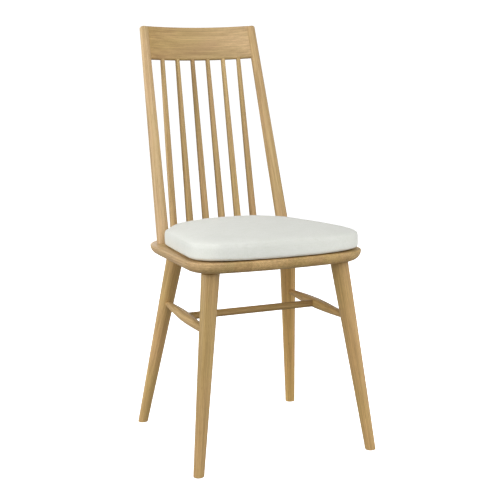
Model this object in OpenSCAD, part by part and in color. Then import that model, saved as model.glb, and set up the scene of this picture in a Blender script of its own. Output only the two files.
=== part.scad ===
// Spindle-back dining chair: a turned solid-wood frame and a loose seat cushion.
// The sitter faces -Y, +X is the sitter's left-hand side and +Z is up.
// The origin is on the floor, under the middle of the chair. Lengths are in millimetres.

/* [Seat] */
// Height of the seat boards' top face above the floor
seat_top = 446; // [440:1:452]
// Thickness of the seat boards
seat_t = 24.6; // [24:0.1:28]
// Width of the seat at its front corners
seat_w = 401; // [396:1:410]
// Width of the seat at its back corners
seat_back_w = 380; // [374:1:386]
// Place of the seat's front edge on its centre line
seat_front_y = -274; // [-278:1:-270]
// Place of the seat's straight back edge
seat_back_y = 200; // [197:1:206]
// Depth of the bow of the front edge
seat_bow = 10; // [6:1:14]
// Radius of the front corners, seen from above
seat_front_r = 77; // [70:1:84]
// Radius of the back corners, seen from above
seat_back_r = 133; // [125:1:140]
// How far the rounded underside reaches in from the edge
seat_under_in = 25; // [20:1:26]
// Height of the small rounding along the top edge
seat_top_round = 3; // [2:0.5:4]

/* [Legs] */
// Distance from the centre plane to a front foot
foot_front_x = 200.5; // [196:0.5:205]
// Place of the front feet
foot_front_y = -239; // [-243:1:-235]
// Distance from the centre plane to a back foot
foot_back_x = 196; // [192:0.5:200]
// Place of the back feet
foot_back_y = 189; // [185:1:193]
// Distance from the centre plane to the top of a front leg
hip_front_x = 147.5; // [145:0.5:150]
// Place of the front legs where they meet the seat
hip_front_y = -203; // [-206:1:-200]
// Distance from the centre plane to the top of a back leg
hip_back_x = 140; // [138:0.5:143]
// Place of the back legs where they meet the seat
hip_back_y = 56; // [53:1:60]
// Radius of a leg at the floor
leg_foot_r = 11.5; // [11:0.1:13]
// Radius of a leg under the seat
leg_top_r = 19.5; // [19:0.1:21]
// Radius of the round tenon on top of a leg
leg_tenon_r = 12; // [10:0.5:13]

/* [Stretchers] */
// Height of a side stretcher where it enters its front leg
stretcher_front_z = 296; // [290:1:305]
// Height of a side stretcher where it enters its back leg
stretcher_back_z = 307; // [300:1:315]
// Radius of a side stretcher where it enters a leg
side_end_r = 6.4; // [5:0.1:7.5]
// Radius of a side stretcher in its swollen middle
side_mid_r = 12.1; // [11:0.1:13]
// Place of the cross stretcher along the chair
cross_y = -57; // [-70:1:-40]
// Radius of the cross stretcher
cross_r = 8.1; // [7.5:0.1:8.5]

/* [Back] */
// Slope of the posts and the crest rail, in degrees from upright
rake = 16.2; // [15.5:0.1:17]
// Distance from the centre plane to a post at the seat
post_seat_x = 153; // [151:0.5:154]
// Place of the posts at the seat
post_seat_y = 104; // [102:0.5:106]
// Distance from the centre plane to the top of a post
post_top_x = 137; // [136:0.5:138]
// Height of the top of a post's centre line
post_top_z = 947.8; // [945:0.1:950]
// Radius of a post at the seat
post_seat_r = 14.8; // [14.5:0.1:16]
// Radius of a post at its top
post_top_r = 10.3; // [10:0.1:11.2]
// Height of the crest rail, along its slope
crest_h = 81; // [78:0.5:84]
// Thickness of the crest rail
crest_t = 15; // [14.5:0.1:15.5]
// Radius of the crest rail's bend
crest_bend_r = 700; // [680:5:740]
// Height of the middle of the crest rail's lower edge
crest_z = 867.2; // [865:0.1:869]
// Place of the middle of the crest rail's lower edge
crest_y = 243.9; // [242:0.1:245]

/* [Spindles] */
// Spacing of the spindles at the seat
spindle_seat_pitch = 41.4; // [41:0.1:42]
// Spacing of the spindles at the crest rail
spindle_crest_pitch = 39; // [38:0.1:40]
// Place of the row of spindles at the seat
spindle_seat_y = 173; // [172:0.5:174]
// Radius of a spindle at the seat
spindle_seat_r = 9.2; // [9:0.1:10]
// Radius of a spindle under the crest rail
spindle_crest_r = 5.4; // [5:0.1:6]

/* [Cushion] */
// Height of the cushion's underside above the seat boards
cushion_gap = 2.4; // [2:0.1:3]
// Thickness of the cushion in its middle
cushion_t = 59; // [50:1:64]
// Height of the cushion's side band, up to the seam round its top
cushion_band_h = 33.6; // [30:0.2:38]
// Place of the cushion's front edge on its centre line
cushion_front_y = -274; // [-275:1:-266]
// Place of the cushion's back edge
cushion_back_y = 159.5; // [156:0.5:160]
// Thickness of the cushion's woven cover
cover_t = 1.2; // [1:0.1:1.5]

/* [Hidden] */
$fn = 64;

// Colours of the wood and of the textiles
oak_light = [0.80, 0.66, 0.46];
oak_dark = [0.70, 0.55, 0.36];
fabric = [0.87, 0.88, 0.85];
foam_yellow = [0.93, 0.88, 0.70];
trim_grey = [0.75, 0.76, 0.74];

// Side signs: the sitter's right is at -X
LEFT = 1;
RIGHT = -1;

// Lines where the seat boards are glued edge to edge, from -X to +X
seat_far_x = 300;
glue_lines = [-seat_far_x, -118, -80, -3, 77, 122, seat_far_x];

seat_under = seat_top - seat_t;
socket_depth = 17;
overrun = 30;
block_half = 500;
seam_turn = 20;

// Chamfers of a leg, and how far its slanted cut reaches past its round section
leg_foot_chamfer = 1.5;
leg_top_chamfer = 4;
leg_slack_front = 0.6;
leg_slack_back = 1.6;

// Seat outline as touching circles: front bow, front corner, back corner, each [x, y, radius]
seat_corner = [seat_w/2 - seat_front_r, seat_front_y + seat_bow + seat_front_r, seat_front_r];
seat_bow_r = bow_radius(seat_corner[0], seat_bow) + seat_front_r;
seat_arcs = [
    [0, seat_front_y + seat_bow_r, seat_bow_r],
    seat_corner,
    [seat_back_w/2 - seat_back_r, seat_back_y - seat_back_r, seat_back_r]
];

// Cushion outline as touching circles: front bow, front corner, side, back corner
cushion_bow = 13;
cushion_corner_r = 72;
cushion_corner = [120, cushion_front_y + cushion_bow + cushion_corner_r, cushion_corner_r];
cushion_bow_r = bow_radius(cushion_corner[0], cushion_bow) + cushion_corner[2];
cushion_arcs = [
    [0, cushion_front_y + cushion_bow_r, cushion_bow_r],
    cushion_corner,
    [103, 18, 71],
    [75, cushion_back_y - 50, 50]
];
cushion_under = seat_top + cushion_gap;
cushion_edge_low = 5;
cushion_edge_high = 3;
fit_gap = 0.2;

// The crowned top: its middle, and the sizes of its rings next to the band's outline
crown_middle = [0, -55];
crown_cap = 0.25;
crown_sizes = [0.94, 0.87, 0.78, 0.67, 0.54, 0.4, crown_cap];

// Stretchers
cross_tenon_r = 5;
cross_shoulder = 8.4;
cross_tenon_l = 9;
stretcher_in_leg = 13;
swell_steps = 24;
swell_power = 1.6;

// Crest rail: rounded edges, and ends let into the posts
crest_low_round = 6;
crest_high_round = 3;
crest_end_x = 132.5;
crest_half_angle = asin(crest_end_x/crest_bend_r);
dowel_r = 3;
dowel_l = 26;
dowel_into_post = 8;
dowel_heights = [20, 62];

// Posts and spindles
straight_above_seat = 4;
post_chamfer = 2.5;
spindle_in_seat = 16;
spindle_housing = 6;
spindle_tenon_r = 4;
spindle_tenon_end = 17;
socket_lead = 3;
spindle_count = 6;

// Hook-and-loop pads between the seat and the cushion
pad_size = 40;
pad_places = [[110, -190], [-110, -190], [90, 90], [-90, 90]];
hook_t = cushion_gap/2;

// Zip along the cushion's back band
zip_l = 130;
zip_h = 9;
zip_t = 0.8;
zip_slider = [7, 2.2, 4];
zip_pull = [24, 1, 3];
zip_slider_x = 54;

function xy(p) = [p[0], p[1]];

// Radius of a bow of the given depth over a half-width
function bow_radius(half_width, depth) = (half_width*half_width + depth*depth)/(2*depth);

// Direction of the outward normal of the line that touches circles a and b
function touch_angle(a, b) =
    let (d = xy(b) - xy(a))
    atan2(d[1], d[0]) - acos(min(1, (a[2] - b[2])/norm(d)));

// Points of an arc of the circle c, drawn inset, from angle a0 to angle a1
function arc_points(c, inset, a0, a1) =
    let (n = max(3, ceil((a1 - a0)/6.5)))
    [for (i = [0:n]) let (a = a0 + (a1 - a0)*i/n) xy(c) + (c[2] - inset)*[cos(a), sin(a)]];

// Right half of an outline of touching circles, from the middle of the front to the back
function half_outline(arcs, inset) = [
    for (i = [0:len(arcs) - 1])
        let (a0 = i == 0 ? -90 : touch_angle(arcs[i - 1], arcs[i]))
        let (a1 = i == len(arcs) - 1 ? 90 : touch_angle(arcs[i], arcs[i + 1]))
        for (p = arc_points(arcs[i], inset, a0, a1)) p
];

// Whole outline, anticlockwise from the middle of the front
function outline(arcs, inset) =
    let (half = half_outline(arcs, inset))
    concat(half, [for (i = [len(half) - 1:-1:1]) [-half[i][0], half[i][1]]]);

function ring(arcs, inset, z) = [for (p = outline(arcs, inset)) [p[0], p[1], z]];

// Point on the crest rail's middle surface, at width x and height h along the slope
function crest_point(x, h) =
    let (back = sqrt(crest_bend_r*crest_bend_r - x*x) - crest_bend_r)
    [x, crest_y + back*cos(rake) + h*sin(rake), crest_z - back*sin(rake) + h*cos(rake)];

function along(a, b, t) = a + (b - a)*t;

// Point of the line from a to b at height z
function at_height(a, b, z) = along(a, b, (z - a[2])/(b[2] - a[2]));

function unit(v) = v/norm(v);

function foot_point(side, front) =
    [side*(front ? foot_front_x : foot_back_x), front ? foot_front_y : foot_back_y, 0];
function hip_point(side, front) =
    [side*(front ? hip_front_x : hip_back_x), front ? hip_front_y : hip_back_y, seat_under];
function leg_centre(side, front, z) = at_height(foot_point(side, front), hip_point(side, front), z);

function post_foot(side) = [side*post_seat_x, post_seat_y, seat_top];
function post_head(side) =
    [side*post_top_x, post_seat_y + (post_top_z - seat_top)*tan(rake), post_top_z];

function spindle_foot(i) = [(i - (spindle_count + 1)/2)*spindle_seat_pitch, spindle_seat_y, seat_top];
function spindle_head(i) = crest_point((i - (spindle_count + 1)/2)*spindle_crest_pitch, 0);

// Where a side stretcher's centre line meets its front leg's centre line and its back leg's
function side_front(side) = leg_centre(side, true, stretcher_front_z);
function side_back(side) = leg_centre(side, false, stretcher_back_z);
function cross_end(side) =
    let (front = side_front(side), back = side_back(side))
    along(front, back, (cross_y - front[1])/(back[1] - front[1]));

// Puts a shape's Z axis on the line from a to b, with its origin at a, and turns it by seam_turn
// so that the start of its round surfaces stays off the planes of symmetry
module aim(a, b) {
    d = b - a;
    translate(a)
        rotate([0, acos(d[2]/norm(d)), atan2(d[1], d[0])])
            rotate([0, 0, seam_turn])
                children();
}

// Round bar from a to b
module bar(a, b, r0, r1) {
    aim(a, b) cylinder(h = norm(b - a), r1 = r0, r2 = r1);
}

// Round bar on the line from a to b, from s0 to s1 along it
module bar_along(a, b, s0, s1, r) {
    aim(a, b) translate([0, 0, s0]) cylinder(h = s1 - s0, r = r);
}

// Turned piece on the line from a to b; each point of its profile is [radius, distance from a]
module turned(a, b, profile) {
    aim(a, b) rotate_extrude() polygon(profile);
}

// Closed solid through rings that have the same number of points
module loft(rings) {
    n = len(rings[0]);
    last = len(rings) - 1;
    polyhedron(
        points = [for (r = rings) for (p = r) p],
        faces = concat(
            [[for (i = [0:n - 1]) i]],
            [[for (i = [n - 1:-1:0]) last*n + i]],
            [for (k = [0:last - 1]) for (i = [0:n - 1])
                [k*n + i, (k + 1)*n + i, (k + 1)*n + (i + 1)%n, k*n + (i + 1)%n]]
        )
    );
}

// The glued seat blank: a large rounding underneath and a small one on top
module seat_blank() {
    low_h = seat_t - seat_top_round;
    low = [for (i = [0:6]) let (a = 90 - 15*i)
        ring(seat_arcs, seat_under_in*(1 - cos(a)), seat_under + low_h*(1 - sin(a)))];
    high = [for (i = [1:4]) let (a = 22.5*i)
        ring(seat_arcs, seat_top_round*(1 - cos(a)), seat_top - seat_top_round*(1 - sin(a)))];
    loft(concat(low, high));
}

// Everything that is let into the seat
module seat_sockets() {
    for (side = [LEFT, RIGHT]) {
        for (front = [true, false]) leg_tenon(side, front, overrun);
        bar_along(post_foot(side), post_head(side), -socket_depth, overrun, post_seat_r);
    }
    for (i = [1:spindle_count])
        bar_along(spindle_foot(i), spindle_head(i), -spindle_in_seat, overrun, spindle_seat_r);
}

module seat_board(i) {
    color(i % 2 == 0 ? oak_dark : oak_light)
        difference() {
            intersection() {
                seat_blank();
                translate([glue_lines[i - 1], -seat_far_x, 0])
                    cube([glue_lines[i] - glue_lines[i - 1], 2*seat_far_x, seat_top + overrun]);
            }
            seat_sockets();
        }
}

// Tenon of a leg, reaching the given length back below the seat
module leg_tenon(side, front, back) {
    foot = foot_point(side, front);
    hip = hip_point(side, front);
    up = unit(hip - foot);
    bar(hip - back*up, hip + socket_depth*up, leg_tenon_r, leg_tenon_r);
}

// Large block from height z0 to height z1, for cutting a slanted bar off level
module level_block(z0, z1) {
    translate([-block_half, -block_half, z0])
        cube([2*block_half, 2*block_half, z1 - z0]);
}

// Space between floor and seat, with a small chamfer where it meets each of them
module leg_envelope(side, front) {
    slack = front ? leg_slack_front : leg_slack_back;
    r_foot = leg_foot_r + slack;
    r_top = leg_top_r + slack;
    translate(foot_point(side, front))
        cylinder(h = leg_foot_chamfer, r1 = r_foot - leg_foot_chamfer, r2 = r_foot);
    level_block(leg_foot_chamfer, seat_under - leg_top_chamfer);
    translate(hip_point(side, front) - [0, 0, leg_top_chamfer])
        cylinder(h = leg_top_chamfer, r1 = r_top, r2 = r_top - leg_top_chamfer);
}

module leg(side, front) {
    foot = foot_point(side, front);
    hip = hip_point(side, front);
    extra = 0.1;
    growth = (leg_top_r - leg_foot_r)*extra;
    color(oak_light)
        difference() {
            union() {
                intersection() {
                    bar(along(foot, hip, -extra), along(foot, hip, 1 + extra),
                        leg_foot_r - growth, leg_top_r + growth);
                    leg_envelope(side, front);
                }
                leg_tenon(side, front, overrun);
            }
            side_stretcher_blank(side);
        }
}

// A side stretcher's blank swells smoothly from its ends to its middle
module side_stretcher_blank(side) {
    front = side_front(side);
    back = side_back(side);
    dir = unit(back - front);
    leg_r = leg_foot_r + (leg_top_r - leg_foot_r)*stretcher_front_z/seat_under;
    a = front + (leg_r - stretcher_in_leg)*dir;
    b = back - (leg_r - stretcher_in_leg)*dir;
    l = norm(b - a);
    swell = [for (i = [0:swell_steps]) let (t = i/swell_steps)
        [side_end_r + (side_mid_r - side_end_r)*(1 - pow(abs(2*t - 1), swell_power)),
         stretcher_in_leg + (l - 2*stretcher_in_leg)*t]];
    turned(a, b, concat([[0, 0], [side_end_r, 0]], swell, [[side_end_r, l], [0, l]]));
}

module side_stretcher(side) {
    color(oak_dark)
        difference() {
            side_stretcher_blank(side);
            cross_stretcher_blank();
        }
}

// The cross stretcher: a straight bar with a shoulder and a tenon at each end
module cross_stretcher_blank() {
    a = cross_end(RIGHT);
    b = cross_end(LEFT);
    dir = unit(b - a);
    bar(a + cross_shoulder*dir, b - cross_shoulder*dir, cross_r, cross_r);
    bar(a + (cross_shoulder - cross_tenon_l)*dir, b - (cross_shoulder - cross_tenon_l)*dir,
        cross_tenon_r, cross_tenon_r);
}

module cross_stretcher() {
    color(oak_dark) cross_stretcher_blank();
}

// A tapered back post, straight where it goes into the seat and chamfered at its top
module back_post(side) {
    foot = post_foot(side);
    head = post_head(side);
    l = norm(head - foot);
    color(oak_light)
        difference() {
            turned(foot, head, [
                [0, -socket_depth], [post_seat_r, -socket_depth], [post_seat_r, straight_above_seat],
                [post_top_r, l - post_chamfer], [post_top_r - post_chamfer, l], [0, l]
            ]);
            crest_blank();
            crest_dowel_set(side);
        }
}

// Cross-section of the crest rail, with its lower edge at height 0
module crest_section() {
    low = crest_low_round;
    high = crest_high_round;
    translate([-crest_t/2, low]) square([crest_t, crest_h - low - high]);
    translate([low - crest_t/2, 0]) square([crest_t - 2*low, crest_h - high]);
    translate([high - crest_t/2, low]) square([crest_t - 2*high, crest_h - low]);
    for (s = [-1, 1]) {
        translate([s*(crest_t/2 - low), low]) circle(r = low);
        translate([s*(crest_t/2 - high), crest_h - high]) circle(r = high);
    }
}

// Places a shape in the crest rail's own frame: X across, Y back and Z up the slope
module in_crest() {
    translate([0, crest_y, crest_z])
        rotate([-rake, 0, 0])
            children();
}

module crest_blank() {
    in_crest()
        translate([0, -crest_bend_r, 0])
            rotate([0, 0, 90 - crest_half_angle])
                rotate_extrude(angle = 2*crest_half_angle, $fn = 180)
                    translate([crest_bend_r, 0]) crest_section();
}

// Stepped socket for the top of a spindle
module crest_socket(i) {
    foot = spindle_foot(i);
    head = spindle_head(i);
    l = norm(head - foot);
    bar_along(foot, head, l - socket_lead, l + spindle_housing, spindle_crest_r);
    bar_along(foot, head, l, l + spindle_tenon_end, spindle_tenon_r);
}

module crest_rail() {
    color(oak_light)
        difference() {
            crest_blank();
            for (i = [1:spindle_count]) crest_socket(i);
            for (side = [LEFT, RIGHT]) crest_dowel_set(side);
        }
}

// The two dowels that pin one end of the crest rail into its post
module crest_dowel_set(side) {
    in_crest()
        for (h = dowel_heights)
            translate([0, -crest_bend_r, h])
                rotate([0, 0, -side*crest_half_angle])
                    translate([side*(dowel_into_post - dowel_l/2), crest_bend_r, 0])
                        rotate([0, 90, 0])
                            cylinder(h = dowel_l, r = dowel_r, center = true);
}

module crest_dowels() {
    color(oak_light)
        for (side = [LEFT, RIGHT]) crest_dowel_set(side);
}

// A tapered spindle, straight in the seat and let into the crest rail before its top tenon
module spindle(i) {
    foot = spindle_foot(i);
    head = spindle_head(i);
    l = norm(head - foot);
    color(oak_light)
        turned(foot, head, [
            [0, -spindle_in_seat], [spindle_seat_r, -spindle_in_seat],
            [spindle_seat_r, straight_above_seat], [spindle_crest_r, l],
            [spindle_crest_r, l + spindle_housing], [spindle_tenon_r, l + spindle_housing],
            [spindle_tenon_r, l + spindle_tenon_end], [0, l + spindle_tenon_end]
        ]);
}

// Ring of the cushion's crowned top: the outline drawn inset, then shrunk to size k
function crown_ring(inset, k, z) = [
    for (p = outline(cushion_arcs, inset))
        let (q = along(crown_middle, p, k))
        [q[0], q[1], z]
];

// Height of the crown over the band, where its outline is shrunk to size k
function crown_height(k) =
    (cushion_t - cushion_band_h)*(1 - k*k)/(1 - crown_cap*crown_cap);

// The cushion's body, drawn inset all round: a rounded foot, an upright band and a crowned top
module cushion_body(inset) {
    z0 = cushion_under + inset;
    z1 = cushion_under + cushion_band_h - inset;
    low = cushion_edge_low - inset;
    high = cushion_edge_high - inset;
    foot = [for (i = [0:2]) let (a = 90 - 45*i)
        ring(cushion_arcs, inset + low*(1 - cos(a)), z0 + low*(1 - sin(a)))];
    shoulder = [for (i = [0:2]) let (a = 45*i)
        ring(cushion_arcs, inset + high*(1 - cos(a)), z1 - high*(1 - sin(a)))];
    crown = [for (k = crown_sizes) crown_ring(inset + high, k, z1 + crown_height(k))];
    loft(concat(foot, shoulder, crown));
}

module cushion_cover() {
    color(fabric)
        difference() {
            cushion_body(0);
            cushion_body(cover_t);
        }
}

module cushion_foam() {
    color(foam_yellow) cushion_body(cover_t + fit_gap);
}

// Zip sewn along the middle of the cushion's back band, with its slider and pull
module cushion_zip() {
    zip_z = cushion_under + cushion_band_h/2;
    color(trim_grey) {
        translate([-zip_l/2, cushion_back_y, zip_z - zip_h/2]) cube([zip_l, zip_t, zip_h]);
        translate([zip_slider_x, cushion_back_y, zip_z - zip_slider[2]/2]) cube(zip_slider);
        translate([zip_slider_x - zip_pull[0] + 1, cushion_back_y + zip_t, zip_z - zip_pull[2]/2])
            cube(zip_pull);
    }
}

module pads(z, t) {
    for (p = pad_places)
        translate([p[0] - pad_size/2, p[1] - pad_size/2, z]) cube([pad_size, pad_size, t]);
}

module hook_pads() {
    color(trim_grey) pads(seat_top, hook_t);
}

module loop_pads() {
    color(trim_grey) pads(seat_top + hook_t, cushion_gap - hook_t);
}

seat_board(1);  // seat_board_1
seat_board(2);  // seat_board_2
seat_board(3);  // seat_board_3
seat_board(4);  // seat_board_4
seat_board(5);  // seat_board_5
seat_board(6);  // seat_board_6
leg(LEFT, true);  // leg_front_left
leg(RIGHT, true);  // leg_front_right
leg(LEFT, false);  // leg_back_left
leg(RIGHT, false);  // leg_back_right
side_stretcher(LEFT);  // side_stretcher_left
side_stretcher(RIGHT);  // side_stretcher_right
cross_stretcher();
back_post(LEFT);  // back_post_left
back_post(RIGHT);  // back_post_right
crest_rail();
crest_dowels();
spindle(1);  // spindle_1
spindle(2);  // spindle_2
spindle(3);  // spindle_3
spindle(4);  // spindle_4
spindle(5);  // spindle_5
spindle(6);  // spindle_6
cushion_cover();
cushion_foam();
cushion_zip();
hook_pads();
loop_pads();
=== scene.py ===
import math
import random

import bmesh
import bpy
import numpy as np
from mathutils import Matrix, Vector, kdtree, noise


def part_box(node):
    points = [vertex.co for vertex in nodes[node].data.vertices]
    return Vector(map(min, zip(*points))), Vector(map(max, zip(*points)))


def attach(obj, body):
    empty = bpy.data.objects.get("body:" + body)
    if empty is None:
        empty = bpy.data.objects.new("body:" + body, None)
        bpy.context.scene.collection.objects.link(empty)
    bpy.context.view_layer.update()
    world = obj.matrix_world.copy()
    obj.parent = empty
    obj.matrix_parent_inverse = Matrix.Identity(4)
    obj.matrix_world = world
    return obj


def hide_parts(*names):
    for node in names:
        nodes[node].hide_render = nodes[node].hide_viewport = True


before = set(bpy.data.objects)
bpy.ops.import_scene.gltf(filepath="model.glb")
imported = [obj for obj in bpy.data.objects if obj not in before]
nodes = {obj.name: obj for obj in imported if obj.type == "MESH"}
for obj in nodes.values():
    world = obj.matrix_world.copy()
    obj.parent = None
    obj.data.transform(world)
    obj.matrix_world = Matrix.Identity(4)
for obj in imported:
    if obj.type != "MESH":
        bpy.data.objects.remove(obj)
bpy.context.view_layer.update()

scene = bpy.context.scene
MM = 0.001

# ---------------------------------------------------------------- places taken from the parts in model.glb
cover_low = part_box("cushion_cover")[0]
cushion_under, cushion_front = cover_low.z, cover_low.y

# ---------------------------------------------------------------- wood: grain direction and tone
# tone: how much paler (above 0) or darker (below 0) a piece is than the rest
# warmth: above 0 is yellower and redder, below 0 is greyer
seat_boards = {  # board: (tone, warmth, distance from the pith in mm)
    "seat_board_1": (0.17, -0.3, 40), "seat_board_2": (0.12, 0.4, 55),
    "seat_board_3": (0.24, 0.2, 34), "seat_board_4": (0.08, 0.6, 60),
    "seat_board_5": (0.18, 0.4, 45), "seat_board_6": (0.08, 0.5, 38),
}
turned_parts = {  # part: (tone, warmth)
    "leg_front_left": (0.06, 1.1), "leg_front_right": (-0.06, 0.9),
    # painted light: leg_back_left's high tone makes it paler for light bounced up from the floor,
    # which this scene's floor doesn't cast
    "leg_back_left": (0.36, 1.7), "leg_back_right": (0.14, 0.8),
    "side_stretcher_left": (0.02, 1.4), "side_stretcher_right": (0.06, 0.5),
    # painted shade: cross_stretcher's low tone darkens the whole rail for the shade it lies in
    # under the seat
    "cross_stretcher": (-0.16, 1.3),
    # painted highlight: back_post_right's greyer, paler colour stands in for the sheen of the light
    # on its side
    "back_post_left": (0.02, -0.2), "back_post_right": (0.12, -1.0),
    "spindle_1": (0.0, 0.0), "spindle_2": (-0.04, 0.2), "spindle_3": (-0.06, 0.3),
    "spindle_4": (-0.04, 0.1), "spindle_5": (0.12, -0.3), "spindle_6": (0.06, -0.1),
}


# ---------------------------------------------------------------- small helpers
class Tree:
    """Adds and joins nodes in one node tree."""

    def __init__(self, tree):
        self.tree = tree

    def add(self, kind, **settings):
        node = self.tree.nodes.new("ShaderNode" + kind)
        for key, value in settings.items():
            setattr(node, key, value)
        return node

    def join(self, source, target):
        self.tree.links.new(source, target)

    def feed(self, socket, value):
        if isinstance(value, bpy.types.NodeSocket):
            self.join(value, socket)
        else:
            socket.default_value = value

    def math(self, operation, a, b=0.0, c=0.0, clamp=False):
        node = self.add("Math", operation=operation, use_clamp=clamp)
        for socket, value in zip(node.inputs, (a, b, c)):
            self.feed(socket, value)
        return node.outputs[0]

    def vector(self, operation, a, b=(0, 0, 0)):
        node = self.add("VectorMath", operation=operation)
        self.feed(node.inputs[0], a)
        self.feed(node.inputs[1], b)
        return node.outputs["Value" if operation in ("LENGTH", "DOT_PRODUCT") else "Vector"]

    def noise(self, where, stretch, detail=2.0, roughness=0.5, output="Fac"):
        """Noise with its own scale along each axis, in cells per metre."""
        node = self.add("TexNoise")
        self.join(self.vector("MULTIPLY", where, stretch), node.inputs["Vector"])
        node.inputs["Scale"].default_value = 1.0
        node.inputs["Detail"].default_value = detail
        node.inputs["Roughness"].default_value = roughness
        return node.outputs[output]

    def combine(self, value):
        """One value as all three parts of a vector."""
        node = self.add("CombineXYZ")
        for socket in node.inputs:
            self.feed(socket, value)
        return node.outputs[0]

    def ramp(self, value, stops, interpolation="LINEAR"):
        node = self.add("ValToRGB")
        node.color_ramp.interpolation = interpolation
        elements = node.color_ramp.elements
        while len(elements) < len(stops):
            elements.new(0.5)
        for element, (position, shade) in zip(elements, stops):
            element.position = position
            element.color = (shade, shade, shade, 1)
        self.feed(node.inputs[0], value)
        return node.outputs[0]

    def mix(self, factor, a, b, blend="MIX"):
        node = self.add("Mix", data_type="RGBA", blend_type=blend)
        for socket, value in ((node.inputs[0], factor), (node.inputs[6], a), (node.inputs[7], b)):
            if isinstance(value, tuple) and len(value) == 3:
                value = (*value, 1.0)
            self.feed(socket, value)
        return node.outputs[2]


# ---------------------------------------------------------------- oak
ring_width = 0.0034
wander_reach = 0.012          # how widely the rings swing from side to side along the grain
oak_pale = (0.632, 0.442, 0.209)
oak_deep = (0.347, 0.205, 0.075)
oak_pink = (0.588, 0.374, 0.191)
oak_olive = (0.523, 0.387, 0.150)
pore_brown = (0.190, 0.105, 0.040)
wood_relief = 0.00022         # the depth of pores and fibres


def oak_group():
    """Oak in a member's own axes, in metres, with the grain along z."""
    group = bpy.data.node_groups.new("oak", "ShaderNodeTree")
    interface = group.interface
    for name, kind in (("Vector", "NodeSocketVector"), ("Gain", "NodeSocketVector"),
                       ("End grain", "NodeSocketFloat"), ("Straight", "NodeSocketFloat")):
        interface.new_socket(name, in_out="INPUT", socket_type=kind)
    for name, kind in (("Color", "NodeSocketColor"), ("Roughness", "NodeSocketFloat"),
                       ("Height", "NodeSocketFloat")):
        interface.new_socket(name, in_out="OUTPUT", socket_type=kind)
    t = Tree(group)
    given, out = group.nodes.new("NodeGroupInput"), group.nodes.new("NodeGroupOutput")
    place, gain, end, straight = given.outputs[:4]

    # the trunk isn't straight: the rings wander a few millimetres along the grain
    wander = t.noise(place, (9, 9, 2.2), 3, 0.5, "Color")
    wander = t.vector("MULTIPLY", t.vector("SUBTRACT", wander, (0.5, 0.5, 0.5)),
                      (wander_reach, wander_reach, 0.0))
    wander = t.vector("MULTIPLY", wander, t.combine(straight))
    bent = t.vector("ADD", place, wander)

    across = t.vector("LENGTH", t.vector("MULTIPLY", bent, (1, 1, 0)))
    ring = t.math("MULTIPLY", across, 1 / ring_width)
    ring = t.math("ADD", ring, t.math("MULTIPLY", t.noise(place, (60, 60, 5), 2), 0.9))
    ring = t.math("FRACT", ring)
    early = t.ramp(ring, ((0.0, 0.05), (0.14, 1.0), (0.42, 0.35), (0.92, 0.0), (1.0, 0.05)), "EASE")

    streak = t.noise(bent, (210, 210, 4.5), 3, 0.6)
    streak = t.ramp(streak, ((0.30, 0.0), (0.70, 1.0)))
    broad = t.noise(bent, (48, 48, 1.8), 2, 0.5)
    broad = t.ramp(broad, ((0.32, 0.0), (0.68, 1.0)))
    fibre = t.noise(bent, (1500, 1500, 26), 3, 0.6)
    fibre = t.ramp(fibre, ((0.32, 0.0), (0.68, 1.0)))
    pore = t.noise(bent, (2300, 2300, 75), 1, 0.5)
    pore = t.ramp(pore, ((0.60, 0.0), (0.68, 1.0)))
    pore = t.math("MULTIPLY", pore, t.math("MULTIPLY_ADD", early, 0.75, 0.25))
    patch = t.noise(place, (16, 16, 5.5), 2, 0.55)
    patch = t.ramp(patch, ((0.36, 0.0), (0.64, 1.0)))

    # depth of colour, 0 pale to 1 deep, and what each feature adds to it
    depth = t.math("MULTIPLY", early, 0.24)
    for feature, weight in ((streak, 0.52), (broad, 0.30), (fibre, 0.20), (end, 0.12)):
        depth = t.math("MULTIPLY_ADD", feature, weight, depth)
    depth = t.math("SUBTRACT", depth, 0.12, clamp=True)
    colour = t.mix(depth, oak_pale, oak_deep)
    tint = t.mix(patch, oak_olive, oak_pink)
    colour = t.mix(0.36, colour, tint)
    # the tint keeps the depth of the wood under it
    shade = t.math("SUBTRACT", 1.12, t.math("MULTIPLY", depth, 0.26))
    colour = t.mix(1.0, colour, t.combine(shade), "MULTIPLY")
    colour = t.mix(1.0, colour, gain, "MULTIPLY")
    colour = t.mix(t.math("MULTIPLY", pore, 0.55), colour, pore_brown)
    t.join(colour, out.inputs[0])

    rough = t.math("MULTIPLY_ADD", fibre, 0.10, 0.46)
    rough = t.math("MULTIPLY_ADD", pore, 0.22, rough)
    rough = t.math("MULTIPLY_ADD", early, 0.05, rough)
    t.join(rough, out.inputs[1])

    height = t.math("MULTIPLY_ADD", fibre, -0.16, 0.6)
    height = t.math("SUBTRACT", height, t.math("MULTIPLY", pore, 0.45))
    height = t.math("SUBTRACT", height, t.math("MULTIPLY", early, 0.08))
    t.join(height, out.inputs[2])
    return group


def grain_of(name):
    """The long axis of a node's mesh."""
    points = np.array([v.co for v in nodes[name].data.vertices], float).reshape(-1, 3)
    points -= points.mean(0)
    axis = np.linalg.svd(points, full_matrices=False)[2][0]
    return Vector(axis if axis[2] >= 0 else -axis)


def middle_of(name):
    low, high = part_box(name)
    return (low + high) / 2


def paint(obj, material):
    if obj.data.materials:
        for i in range(len(obj.data.materials)):
            obj.data.materials[i] = material
    else:
        obj.data.materials.append(material)


def new_material(name):
    material = bpy.data.materials.new(name)
    material.use_nodes = True
    return material, Tree(material.node_tree), material.node_tree.nodes["Principled BSDF"]


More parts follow.
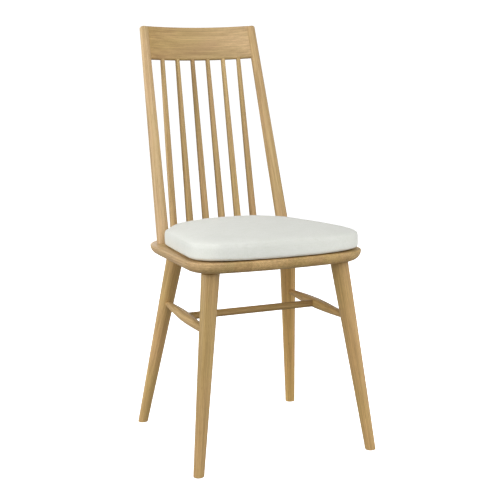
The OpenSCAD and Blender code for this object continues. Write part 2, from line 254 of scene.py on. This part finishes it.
def oak(name, grain, pith, tone=0.0, warmth=0.0, wander=1.0, drift=None):
    """Paints one member with oak: grain along its axis, cut at its own distance from the pith.

    drift is (axis, change per metre in red, green and blue): painted light, the colour grows paler
    along it.
    """
    material, t, surface = new_material("oak_" + name)
    coordinates = t.add("TexCoord")
    where = coordinates.outputs["Object"]
    facing = coordinates.outputs["Normal"]
    facing_end = t.math("ABSOLUTE", t.vector("DOT_PRODUCT", facing, tuple(grain)))
    turn = grain.rotation_difference(Vector((0, 0, 1)))
    centre = middle_of(name)
    moved = Vector(pith) - turn @ centre
    mapping = t.add("Mapping", vector_type="POINT")
    t.join(where, mapping.inputs["Vector"])
    mapping.inputs["Rotation"].default_value = turn.to_euler()
    mapping.inputs["Location"].default_value = moved
    wood = t.add("Group", node_tree=oak_tree)
    t.join(mapping.outputs[0], wood.inputs["Vector"])
    gain = ((1 + tone) * (1 + 0.02 * warmth), (1 + tone) * (1 - 0.02 * warmth),
            (1 + tone) * (1 - 0.13 * warmth))
    # painted light: the colour is made paler along the drift's axis
    if drift:
        axis, change = drift
        along = t.vector("DOT_PRODUCT", t.vector("SUBTRACT", where, tuple(centre)), axis)
        gain = t.vector("ADD", t.vector("MULTIPLY", t.combine(along), change), gain)
    t.feed(wood.inputs["Gain"], gain)
    wood.inputs["Straight"].default_value = wander
    t.join(t.math("POWER", facing_end, 3.0), wood.inputs["End grain"])
    t.join(wood.outputs["Color"], surface.inputs["Base Color"])
    t.join(wood.outputs["Roughness"], surface.inputs["Roughness"])
    relief = t.add("Bump")
    relief.inputs["Distance"].default_value = wood_relief
    relief.inputs["Strength"].default_value = 0.8
    t.join(wood.outputs["Height"], relief.inputs["Height"])
    t.join(relief.outputs[0], surface.inputs["Normal"])
    surface.inputs["Coat Weight"].default_value = 0.05
    surface.inputs["Coat Roughness"].default_value = 0.32
    surface.inputs["Specular IOR Level"].default_value = 0.38
    paint(nodes[name], material)


oak_tree = oak_group()
# painted light: the front legs are made paler towards the floor, standing in for light bounced up
# from the floor
legs_painted_floor_light = ((0.0, 0.0, -1.0), (0.30, 0.28, 0.26))
crest_painted_sheen_left = ((1.0, 0.0, 0.0), (0.75, 1.0, 1.9))  # painted highlight: the rail is made paler and greyer towards the sitter's left, a sheen painted into its colour
draw = random.Random(7)
front_to_back = Vector((0, 1, 0))
for board, (tone, warmth, pith) in seat_boards.items():
    side = draw.choice((-1, 1))
    oak(board, front_to_back, (side * 12 * MM, pith * MM, draw.uniform(1, 5)), tone, warmth)
for part, (tone, warmth) in turned_parts.items():
    angle = draw.uniform(0, 2 * math.pi)
    away = draw.uniform(35, 70) * MM
    pith = (away * math.cos(angle), away * math.sin(angle), draw.uniform(1, 5))
    drift = legs_painted_floor_light if part.startswith("leg_front") else None
    oak(part, grain_of(part), pith, tone, warmth, drift=drift)
oak("crest_rail", Vector((1, 0, 0)), (150 * MM, 60 * MM, 2.3), 0.03, -0.1, wander=0.3,
    drift=crest_painted_sheen_left)
oak("crest_dowels", front_to_back, (15 * MM, 4 * MM, 3.1), -0.18, 0.5)


# ---------------------------------------------------------------- cushion cloth
cloth_pale = (0.880, 0.890, 0.845)
cloth_shade = (0.760, 0.780, 0.705)
yarn = 0.9 * MM


def linen():
    """A plain weave of slubby off-white yarn, laid flat on the faces and round the band."""
    material, t, surface = new_material("cushion_linen")
    coordinates = t.add("TexCoord")
    where, facing = coordinates.outputs["Object"], coordinates.outputs["Normal"]
    split = t.add("SeparateXYZ")
    t.join(t.vector("ABSOLUTE", facing), split.inputs[0])
    place = t.add("SeparateXYZ")
    t.join(where, place.inputs[0])
    x, y, z = place.outputs
    flat = t.math("GREATER_THAN", split.outputs[2], 0.62)
    along_x = t.math("GREATER_THAN", split.outputs[1], split.outputs[0])
    side = t.math("SUBTRACT", 1.0, flat)

    def choose(factor, a, b):
        """a where factor is 0, b where it is 1"""
        return t.math("ADD", t.math("MULTIPLY", t.math("SUBTRACT", 1.0, factor), a),
                      t.math("MULTIPLY", factor, b))

    round_band = choose(along_x, y, x)
    warp = choose(side, x, round_band)
    weft = choose(side, y, z)
    wobble = t.noise(where, (260, 260, 260), 2, 0.5)
    wobble = t.math("MULTIPLY", t.math("SUBTRACT", wobble, 0.5), 2.2)

    def threads(u):
        phase = t.math("MULTIPLY_ADD", u, 2 * math.pi / (2 * yarn), wobble)
        return t.math("SINE", phase)

    over = t.math("MULTIPLY", threads(warp), threads(weft))
    weave = t.math("MULTIPLY_ADD", over, 0.5, 0.5)
    slub_a = t.noise(where, (900, 55, 900), 2, 0.6)
    slub_b = t.noise(where, (55, 900, 300), 2, 0.6)
    slub = t.math("MULTIPLY", t.math("ADD", slub_a, slub_b), 0.5)
    slub = t.ramp(slub, ((0.38, 0.0), (0.62, 1.0)))
    mottle = t.ramp(t.noise(where, (330, 330, 330), 3, 0.65), ((0.36, 0.0), (0.64, 1.0)))
    cloud = t.ramp(t.noise(where, (28, 28, 28), 2, 0.5), ((0.35, 0.0), (0.65, 1.0)))

    shade = t.math("MULTIPLY", weave, 0.24)
    shade = t.math("MULTIPLY_ADD", slub, 0.34, shade)
    shade = t.math("MULTIPLY_ADD", mottle, 0.26, shade)
    shade = t.math("MULTIPLY_ADD", cloud, 0.16, shade, clamp=True)
    t.join(t.mix(shade, cloth_shade, cloth_pale), surface.inputs["Base Color"])
    rough = t.math("MULTIPLY_ADD", mottle, 0.12, 0.80)
    t.join(rough, surface.inputs["Roughness"])
    height = t.math("MULTIPLY_ADD", slub, 0.55, t.math("MULTIPLY", weave, 0.6))
    relief = t.add("Bump")
    relief.inputs["Distance"].default_value = 0.45 * MM
    relief.inputs["Strength"].default_value = 0.55
    t.join(height, relief.inputs["Height"])
    t.join(relief.outputs[0], surface.inputs["Normal"])
    surface.inputs["Sheen Weight"].default_value = 0.25
    surface.inputs["Sheen Roughness"].default_value = 0.5
    surface.inputs["Specular IOR Level"].default_value = 0.2
    return material


linen_material = linen()


# ---------------------------------------------------------------- cushion shape
voxel = 4 * MM
start_inset = 1.2 * MM        # the cloth starts this far inside the cover, then swells out to it
swell_pressure = 4.0
top_fullness = 2.0 * MM       # how far the top panel may swell
band_fullness = 2.8 * MM      # how far the side band may swell
sim_frames = 20
held_reach = 3.6 * MM         # cloth this near a seam is held while it swells
half_held_reach = 6 * MM      # and this near it is half held
band_height = 33.6 * MM       # from the underside to the seam round the top
seam_rise = 1.6 * MM          # the under seam lies this far over the underside
seam_radius = 0.7 * MM        # of the ridge along a seam
seam_sink = 0.35 * MM         # how far the ridge is sunk in its groove
corner_lift = 1.2 * MM        # the front corners curl up a little
front_sag = 1.5 * MM          # between them the foot of the band hangs lower
foot_turn = 4.6 * MM          # the foot of the band turns in under the cushion
foot_height = 4 * MM          # over this height
crown_fullness = 8.0 * MM     # the filling lifts the top panel behind its seam, most at the front
crown_rise = 12 * MM          # it rises over this distance from the seam
crown_fade = 65 * MM          # and fades over this one towards the middle
set_off = 1.2 * MM            # the cushion lies a little to the sitter's left
seam_pinch = 0.55             # how sharply the cloth turns over the top seam
pinch_reach = 3.6 * MM         # cloth this near the seam is drawn to it
band_seam_x = -92 * MM        # the band's ends are joined near its front corner
zip_low, zip_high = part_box("cushion_zip")
top_seam_z = cushion_under + band_height
under_seam_z = cushion_under + seam_rise


def points_of(mesh):
    co = np.zeros(len(mesh.vertices) * 3, np.float32)
    mesh.vertices.foreach_get("co", co)
    return co.reshape(-1, 3).astype(float)


def set_points(mesh, co):
    mesh.vertices.foreach_set("co", co.astype(np.float32).ravel())
    mesh.update()


def normals_of(mesh):
    normal = np.zeros(len(mesh.vertices) * 3, np.float32)
    mesh.vertex_normals.foreach_get("vector", normal)
    return normal.reshape(-1, 3).astype(float)


def take_shape(obj):
    """Applies an object's modifiers to its mesh."""
    bpy.context.view_layer.update()
    graph = bpy.context.evaluated_depsgraph_get()
    mesh = bpy.data.meshes.new_from_object(obj.evaluated_get(graph))
    obj.modifiers.clear()
    obj.data = mesh


def modify(obj, kind, **settings):
    modifier = obj.modifiers.new(kind.lower(), kind)
    for key, value in settings.items():
        setattr(modifier, key, value)
    take_shape(obj)


def outline_at(mesh, height, step=2 * MM):
    """The line round the mesh at a height: evenly spaced points, anticlockwise."""
    co = points_of(mesh)
    ends = np.zeros(len(mesh.edges) * 2, np.int32)
    mesh.edges.foreach_get("vertices", ends)
    a, b = co[ends[0::2]], co[ends[1::2]]
    crosses = (a[:, 2] - height) * (b[:, 2] - height) < 0
    a, b = a[crosses], b[crosses]
    hits = a + (b - a) * ((height - a[:, 2]) / (b[:, 2] - a[:, 2]))[:, None]
    middle = (hits.min(0) + hits.max(0)) / 2
    turn = np.arctan2(hits[:, 1] - middle[1], hits[:, 0] - middle[0])
    hits = hits[np.argsort(turn)]
    for _ in range(6):
        hits = (np.roll(hits, 1, 0) + 2 * hits + np.roll(hits, -1, 0)) / 4
    closed = np.vstack([hits, hits[:1]])
    length = np.concatenate([[0], np.cumsum(np.linalg.norm(np.diff(closed, axis=0), axis=1))])
    count = int(length[-1] / step)
    at = np.linspace(0, length[-1], count, endpoint=False)
    return np.stack([np.interp(at, length, closed[:, i]) for i in range(3)], 1)


def nearest_on(path, co):
    """For each point, the nearest point of a path."""
    tree = kdtree.KDTree(len(path))
    for i, point in enumerate(path):
        tree.insert(point, i)
    tree.balance()
    return np.array([tree.find(p)[0] for p in co])


def distance_to(path, co):
    return np.linalg.norm(nearest_on(path, co) - co, axis=1)


def swell(obj, held):
    """Cloth under pressure with its seams held and no gravity; then each point's move is capped."""
    before = points_of(obj.data)
    group = obj.vertex_groups.new(name="held")
    for weight in (1.0, 0.5):
        group.add([int(i) for i in np.nonzero(np.isclose(held, weight))[0]], weight, "REPLACE")
    cloth = obj.modifiers.new("cloth", "CLOTH")
    cloth.settings.quality = 6
    cloth.settings.mass = 0.15
    cloth.settings.tension_stiffness = cloth.settings.compression_stiffness = 15
    cloth.settings.shear_stiffness = 5
    cloth.settings.bending_stiffness = 0.6
    cloth.settings.use_pressure = True
    cloth.settings.uniform_pressure_force = swell_pressure
    cloth.settings.effector_weights.gravity = 0
    cloth.settings.vertex_group_mass = "held"
    cloth.collision_settings.use_self_collision = False
    cloth.point_cache.frame_start, cloth.point_cache.frame_end = 1, sim_frames
    for step in range(1, sim_frames + 1):
        scene.frame_set(step)
    take_shape(obj)
    scene.frame_set(1)
    move = points_of(obj.data) - before
    length = np.linalg.norm(move, axis=1)
    flat = np.abs(normals_of(obj.data)[:, 2]) ** 2
    cap = band_fullness + (top_fullness - band_fullness) * flat
    keep = cap * np.tanh(length / cap) / np.maximum(length, 1e-9)
    move *= keep[:, None]
    set_points(obj.data, before + move)
    obj.vertex_groups.clear()


def ripple(co, cells, seed):
    """Smooth noise from -1 to 1 at each point, with so many cells per metre."""
    shift = Vector((seed * 13.7, seed * 5.1, seed * 9.3))
    return np.array([noise.noise(Vector(p) * cells + shift) for p in co])


def loose_cloth(obj):
    """Shapes the swollen cloth: its crown, its seams, small puckers beside them, and its foot."""
    mesh = obj.data
    co, normal = points_of(mesh), normals_of(mesh)
    top_seam = outline_at(mesh, top_seam_z - 5.0 * MM)
    top_seam[:, 2] = top_seam_z
    under_seam = outline_at(mesh, under_seam_z + 1.5 * MM)
    under_seam[:, 2] = under_seam_z
    to_top, to_under = distance_to(top_seam, co), distance_to(under_seam, co)
    near = np.minimum(to_top, to_under)
    on_top = np.clip(normal[:, 2], 0, 1)
    # the crown, and the turn over the top seam
    fuller = 0.68 - 0.32 * np.tanh((co[:, 1] + 15 * MM) / (60 * MM))
    rise = (1 - np.exp(-to_top / crown_rise)) * np.exp(-to_top / crown_fade)
    co[:, 2] += crown_fullness * fuller * on_top * rise
    pull = seam_pinch * np.exp(-(to_top / pinch_reach) ** 2)
    co += (nearest_on(top_seam, co) - co) * pull[:, None]
    # shallow unevenness all over, puckers by the seams, and the grooves that the seams lie in
    push = 0.50 * MM * ripple(co, 16, 1) + 0.20 * MM * ripple(co, 60, 2)
    push += 0.30 * MM * ripple(co, 105, 3) * np.exp(-near / (9 * MM))
    below = np.clip((top_seam_z - co[:, 2]) / (1.5 * MM), -1, 1)
    groove = np.exp(-((to_top - 3.0 * MM) / (1.8 * MM)) ** 2)
    push -= 0.6 * MM * groove * (0.65 + 0.35 * below)
    push -= 0.5 * MM * np.exp(-(to_under / (2.4 * MM)) ** 2)
    # the seam that closes the band
    front = np.exp(-((co[:, 1] - cushion_front) / (20 * MM)) ** 2) * (np.abs(normal[:, 2]) < 0.8)
    push -= 0.8 * MM * front * np.exp(-((co[:, 0] - band_seam_x) / (2.2 * MM)) ** 2)
    co = co + normal * push[:, None]
    co[:, 2] = np.maximum(co[:, 2], cushion_under)
    # the foot of the band curls up towards the front corners, hangs lower between them,
    # and turns in under the cushion
    off_middle = np.clip((np.abs(co[:, 0]) - 70 * MM) / (70 * MM), 0, 1) ** 1.5
    forward = np.clip((-110 * MM - co[:, 1]) / (60 * MM), 0, 1)
    low = np.clip((cushion_under + 12 * MM - co[:, 2]) / (12 * MM), 0, 1)
    rim = np.exp(-(to_under / (26 * MM)) ** 2)
    co[:, 2] += (corner_lift * off_middle - front_sag * (1 - off_middle)) * forward * low * rim
    outward = co[:, :2] - co[:, :2].mean(0)
    outward /= np.linalg.norm(outward, axis=1)[:, None]
    under_edge = np.clip((cushion_under + foot_height - co[:, 2]) / foot_height, 0, 1) ** 2 * rim
    co[:, :2] -= foot_turn * outward * under_edge[:, None]
    co[:, 0] += set_off
    # the zip's tape lies on the back of the band
    by_zip = ((co[:, 1] > zip_low.y - 6 * MM)
              & (co[:, 0] > zip_low.x - 6 * MM) & (co[:, 0] < zip_high.x + 6 * MM)
              & (co[:, 2] > zip_low.z - 4 * MM) & (co[:, 2] < zip_high.z + 4 * MM))
    co[by_zip, 1] = np.minimum(co[by_zip, 1], zip_low.y)
    set_points(mesh, co)


def seam_cord(name, path, radius, sink):
    """The folded edge of a seam, a fine ridge of cloth half sunk in its groove."""
    ahead = np.roll(path, -1, 0) - np.roll(path, 1, 0)
    ahead /= np.linalg.norm(ahead, axis=1)[:, None]
    out = np.stack([ahead[:, 1], -ahead[:, 0], np.zeros(len(path))], 1)
    centre = path - out * sink
    sides = 8
    mesh = bpy.data.meshes.new(name)
    shape = bmesh.new()
    rings = []
    for i, point in enumerate(centre):
        fold = radius * (1 + 0.16 * noise.noise(Vector(point) * 160))
        ring = []
        for k in range(sides):
            turn = 2 * math.pi * k / sides
            way = math.cos(turn) * Vector(out[i]) + math.sin(turn) * Vector((0, 0, 1))
            ring.append(shape.verts.new(Vector(point) + fold * way))
        rings.append(ring)
    for i, ring in enumerate(rings):
        after = rings[(i + 1) % len(rings)]
        for k in range(sides):
            beside = (k + 1) % sides
            face = shape.faces.new((ring[k], after[k], after[beside], ring[beside]))
            face.smooth = True
    bmesh.ops.recalc_face_normals(shape, faces=shape.faces)
    shape.to_mesh(mesh)
    shape.free()
    obj = bpy.data.objects.new(name, mesh)
    scene.collection.objects.link(obj)
    return obj


def build_cushion():
    """The foam's shape swollen as cloth under pressure, then smoothed and given its seams."""
    obj = bpy.data.objects.new("seat_cushion", nodes["cushion_foam"].data.copy())
    obj.data.materials.clear()
    scene.collection.objects.link(obj)
    modify(obj, "REMESH", mode="VOXEL", voxel_size=voxel)
    co = points_of(obj.data)
    seams = []
    for height in (top_seam_z - 1.5 * MM, under_seam_z + 1.5 * MM):
        seam = outline_at(obj.data, height)
        seam[:, 2] = height
        seams.append(seam)
    near = distance_to(np.vstack(seams), co)
    held = np.where(near < held_reach, 1.0, np.where(near < half_held_reach, 0.5, 0.0))
    held[co[:, 2] < cushion_under + 2.5 * MM] = 1.0
    swell(obj, held)
    modify(obj, "SMOOTH", iterations=1, factor=0.5)
    modify(obj, "SUBSURF", levels=1)
    set_points(obj.data, points_of(obj.data) + normals_of(obj.data) * start_inset)
    loose_cloth(obj)
    for polygon in obj.data.polygons:
        polygon.use_smooth = True
    return obj


cushion = build_cushion()
paint(cushion, linen_material)
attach(cushion, "cushion")
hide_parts("cushion_cover", "cushion_foam")
for cord_name, height in (("cushion_seam_top", top_seam_z), ("cushion_seam_under", under_seam_z)):
    path = outline_at(cushion.data, height)
    cord = seam_cord(cord_name, path, seam_radius, seam_sink)
    paint(cord, linen_material)
    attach(cord, "cushion")


# ---------------------------------------------------------------- zip and pads
tooth_pitch = 1.8 * MM
zip_middle = (zip_low + zip_high) / 2
tape_t = 0.8 * MM
slider_x = 57.5 * MM          # the zip is shut, and its slider is at the sitter's left end


def nylon(name, pale, shade, cells, depth, rough):
    """A textile or plastic trim: two shades in fine cells, with the cells as relief.

    cells is their number per metre along each axis, depth the relief's height in metres.
    """
    material, t, surface = new_material(name)
    where = t.add("TexCoord").outputs["Object"]
    grain = t.ramp(t.noise(where, cells, 2, 0.6), ((0.34, 0.0), (0.66, 1.0)))
    cloud = t.noise(where, (70, 70, 70), 2)
    shaded = t.math("MULTIPLY_ADD", grain, 0.75, t.math("MULTIPLY", cloud, 0.25), clamp=True)
    t.join(t.mix(shaded, shade, pale), surface.inputs["Base Color"])
    t.join(t.math("MULTIPLY_ADD", grain, 0.12, rough), surface.inputs["Roughness"])
    relief = t.add("Bump")
    relief.inputs["Distance"].default_value = depth
    relief.inputs["Strength"].default_value = 0.7
    t.join(grain, relief.inputs["Height"])
    t.join(relief.outputs[0], surface.inputs["Normal"])
    surface.inputs["Specular IOR Level"].default_value = 0.35
    return material


def rounded_block(shape, low, high, bevel):
    """Adds a box with rounded edges to a bmesh."""
    made = bmesh.ops.create_cube(shape, size=1.0)["verts"]
    low, high = Vector(low), Vector(high)
    for vert in made:
        vert.co = (low + high) / 2 + Vector(a * b for a, b in zip(vert.co, high - low))
    edges = list({edge for vert in made for edge in vert.link_edges})
    bmesh.ops.bevel(shape, geom=edges, offset=bevel, segments=3, profile=0.5, affect="EDGES")


def add_trim(name, shape, material):
    """Makes a bmesh into a piece of the zip that rides on the cushion."""
    mesh = bpy.data.meshes.new(name)
    bmesh.ops.recalc_face_normals(shape, faces=shape.faces)
    shape.to_mesh(mesh)
    shape.free()
    for polygon in mesh.polygons:
        polygon.use_smooth = True
    obj = bpy.data.objects.new(name, mesh)
    scene.collection.objects.link(obj)
    paint(obj, material)
    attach(obj, "cushion")
    return obj


def build_zip():
    """Two woven tapes with a row of moulded teeth between them, a slider and its pull."""
    back, middle_z = zip_low.y, zip_middle.z
    tape_cloth = nylon("zip_tape_cloth", (0.80, 0.81, 0.77), (0.62, 0.63, 0.58),
                       (1400, 400, 1400), 0.25 * MM, 0.72)
    tooth_plastic = nylon("zip_teeth_plastic", (0.72, 0.73, 0.70), (0.60, 0.61, 0.58),
                          (500, 500, 500), 0.05 * MM, 0.34)
    shape = bmesh.new()
    for side in (-1, 1):
        low, high = sorted((middle_z + side * 0.5 * MM, middle_z + side * (zip_high.z - middle_z)))
        rounded_block(shape, (zip_low.x, back, low), (zip_high.x, back + tape_t, high), 0.3 * MM)
    tape = add_trim("zip_tape", shape, tape_cloth)
    shape = bmesh.new()
    count = int((zip_high.x - zip_low.x - 4 * MM) / tooth_pitch)
    for i in range(count):
        x = zip_low.x + 2 * MM + i * tooth_pitch
        shift = (0.35 if i % 2 else -0.35) * MM
        rounded_block(shape, (x, back + 0.2 * MM, middle_z - 1.3 * MM + shift),
                      (x + 1.2 * MM, back + 1.3 * MM, middle_z + 1.3 * MM + shift), 0.25 * MM)
    add_trim("zip_teeth", shape, tooth_plastic)
    shape = bmesh.new()
    rounded_block(shape, (slider_x - 3.5 * MM, back + 0.4 * MM, middle_z - 2.6 * MM),
                  (slider_x + 3.5 * MM, back + 2.0 * MM, middle_z + 2.6 * MM), 0.6 * MM)
    rounded_block(shape, (slider_x - 2.2 * MM, back + 1.2 * MM, middle_z - 0.7 * MM),
                  (slider_x + 2.2 * MM, back + 2.2 * MM, middle_z + 0.7 * MM), 0.3 * MM)
    for side in (-1, 1):
        low, high = (middle_z + (side + half) * 1.1 * MM for half in (-0.45, 0.45))
        rounded_block(shape, (slider_x - 22 * MM, back + 1.3 * MM, low),
                      (slider_x - 1 * MM, back + 2.0 * MM, high), 0.25 * MM)
    rounded_block(shape, (slider_x - 24 * MM, back + 1.3 * MM, middle_z - 1.6 * MM),
                  (slider_x - 17 * MM, back + 2.1 * MM, middle_z + 1.6 * MM), 0.35 * MM)
    add_trim("zip_slider", shape, tooth_plastic)
    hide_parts("cushion_zip")


build_zip()
paint(nodes["hook_pads"], nylon("hook_tape", (0.74, 0.75, 0.72), (0.48, 0.49, 0.46),
                                (900, 900, 900), 0.5 * MM, 0.45))
paint(nodes["loop_pads"], nylon("loop_tape", (0.80, 0.81, 0.78), (0.60, 0.61, 0.58),
                                (420, 420, 420), 0.6 * MM, 0.85))


# ---------------------------------------------------------------- stage, light and camera
stage_radius = 9.0
aim_point = (0.0, 0.0, 0.5)
softboxes = {  # light: (place, size, power), in metres and watts
    "light_top": ((0.0, 0.0, 3.0), (2.4, 2.4), 15),
    "light_top_front": ((0.0, -2.0, 2.6), (2.0, 1.6), 12),
    "light_left": ((-2.9, 0.15, 1.2), (0.9, 1.8), 48),
    "light_front": ((-0.2, -2.9, 1.8), (1.6, 1.4), 31),
    "light_right": ((1.7, -2.4, 0.9), (0.8, 1.6), 5),
    "light_floor": ((1.2, -0.7, 0.03), (1.0, 1.0), 4),
    "light_back": ((0.6, 3.0, 1.6), (2.0, 1.6), 20),
}
sky = {"above": 0.02, "level": 0.60, "below": 0.06}


def stage_floor():
    """A pale floor that the camera sees as white and that lights nothing."""
    mesh = bpy.data.meshes.new("studio_floor")
    shape = bmesh.new()
    bmesh.ops.create_circle(shape, cap_ends=True, segments=96, radius=stage_radius)
    shape.to_mesh(mesh)
    shape.free()
    obj = bpy.data.objects.new("studio_floor", mesh)
    scene.collection.objects.link(obj)
    obj.location.z = -0.0005
    material, t, surface = new_material("studio_floor")
    cloud = t.noise(t.add("TexCoord").outputs["Object"], (3, 3, 3), 2)
    grey = t.ramp(cloud, ((0.0, 0.88), (1.0, 0.92)))
    t.join(grey, surface.inputs["Base Color"])
    surface.inputs["Roughness"].default_value = 0.9
    surface.inputs["Specular IOR Level"].default_value = 0.1
    surface.inputs["Emission Color"].default_value = (1, 1, 1, 1)
    surface.inputs["Emission Strength"].default_value = 1.0
    paint(obj, material)
    obj.visible_diffuse = obj.visible_glossy = False


def stage_backdrop():
    """A white dome round the scene that the camera sees and that lights nothing."""
    mesh = bpy.data.meshes.new("studio_backdrop")
    shape = bmesh.new()
    bmesh.ops.create_uvsphere(shape, u_segments=48, v_segments=24, radius=stage_radius)
    shape.to_mesh(mesh)
    shape.free()
    obj = bpy.data.objects.new("studio_backdrop", mesh)
    scene.collection.objects.link(obj)
    material, t, surface = new_material("studio_backdrop")
    surface.inputs["Base Color"].default_value = (0, 0, 0, 1)
    surface.inputs["Emission Color"].default_value = (1, 1, 1, 1)
    surface.inputs["Emission Strength"].default_value = 1.05
    paint(obj, material)
    obj.visible_diffuse = obj.visible_glossy = obj.visible_shadow = False


def softbox(name, place, size, power):
    """A rectangular light aimed at the middle of the chair."""
    light = bpy.data.lights.new(name, "AREA")
    light.shape = "RECTANGLE"
    light.size, light.size_y = size
    light.energy = power
    obj = bpy.data.objects.new(name, light)
    scene.collection.objects.link(obj)
    obj.location = place
    obj.rotation_euler = (Vector(aim_point) - Vector(place)).to_track_quat("-Z", "Y").to_euler()
    obj.visible_camera = False


def studio_world():
    """Soft light from all round the room, brightest at eye level."""
    world = bpy.data.worlds.new("studio")
    scene.world = world
    world.use_nodes = True
    t = Tree(world.node_tree)
    split = t.add("SeparateXYZ")
    t.join(t.add("TexCoord").outputs["Generated"], split.inputs[0])
    height = t.math("MULTIPLY_ADD", split.outputs[2], 0.5, 0.5)
    shade = t.ramp(height, ((0.0, sky["below"]), (0.5, sky["level"]), (1.0, sky["above"])), "EASE")
    background = world.node_tree.nodes["Background"]
    t.join(shade, background.inputs["Color"])
    background.inputs["Strength"].default_value = 1.0


stage_floor()
stage_backdrop()
for box_name, (box_place, box_size, box_power) in softboxes.items():
    softbox(box_name, box_place, box_size, box_power)
studio_world()

camera_place = Vector((-0.8781, -2.2737, 0.7813))
camera_yaw, camera_pitch, camera_roll = -0.37681, 0.14338, -0.02651  # radians
camera_lens, camera_film = 77.48, 36.0  # mm

ahead = Vector((-math.sin(camera_yaw) * math.cos(camera_pitch),
                math.cos(camera_yaw) * math.cos(camera_pitch), -math.sin(camera_pitch)))
right = Vector((math.cos(camera_yaw), math.sin(camera_yaw), 0.0))
up = right.cross(ahead)
right, up = (math.cos(camera_roll) * right + math.sin(camera_roll) * up,
             math.cos(camera_roll) * up - math.sin(camera_roll) * right)
camera_data = bpy.data.cameras.new("camera")
camera_data.lens, camera_data.sensor_width = camera_lens, camera_film
camera_data.clip_end = 40.0
camera = bpy.data.objects.new("camera", camera_data)
scene.collection.objects.link(camera)
turned = Matrix((right, up, -ahead)).transposed().to_4x4()
camera.matrix_world = Matrix.Translation(camera_place) @ turned
scene.camera = camera
scene.view_settings.view_transform = "Standard"
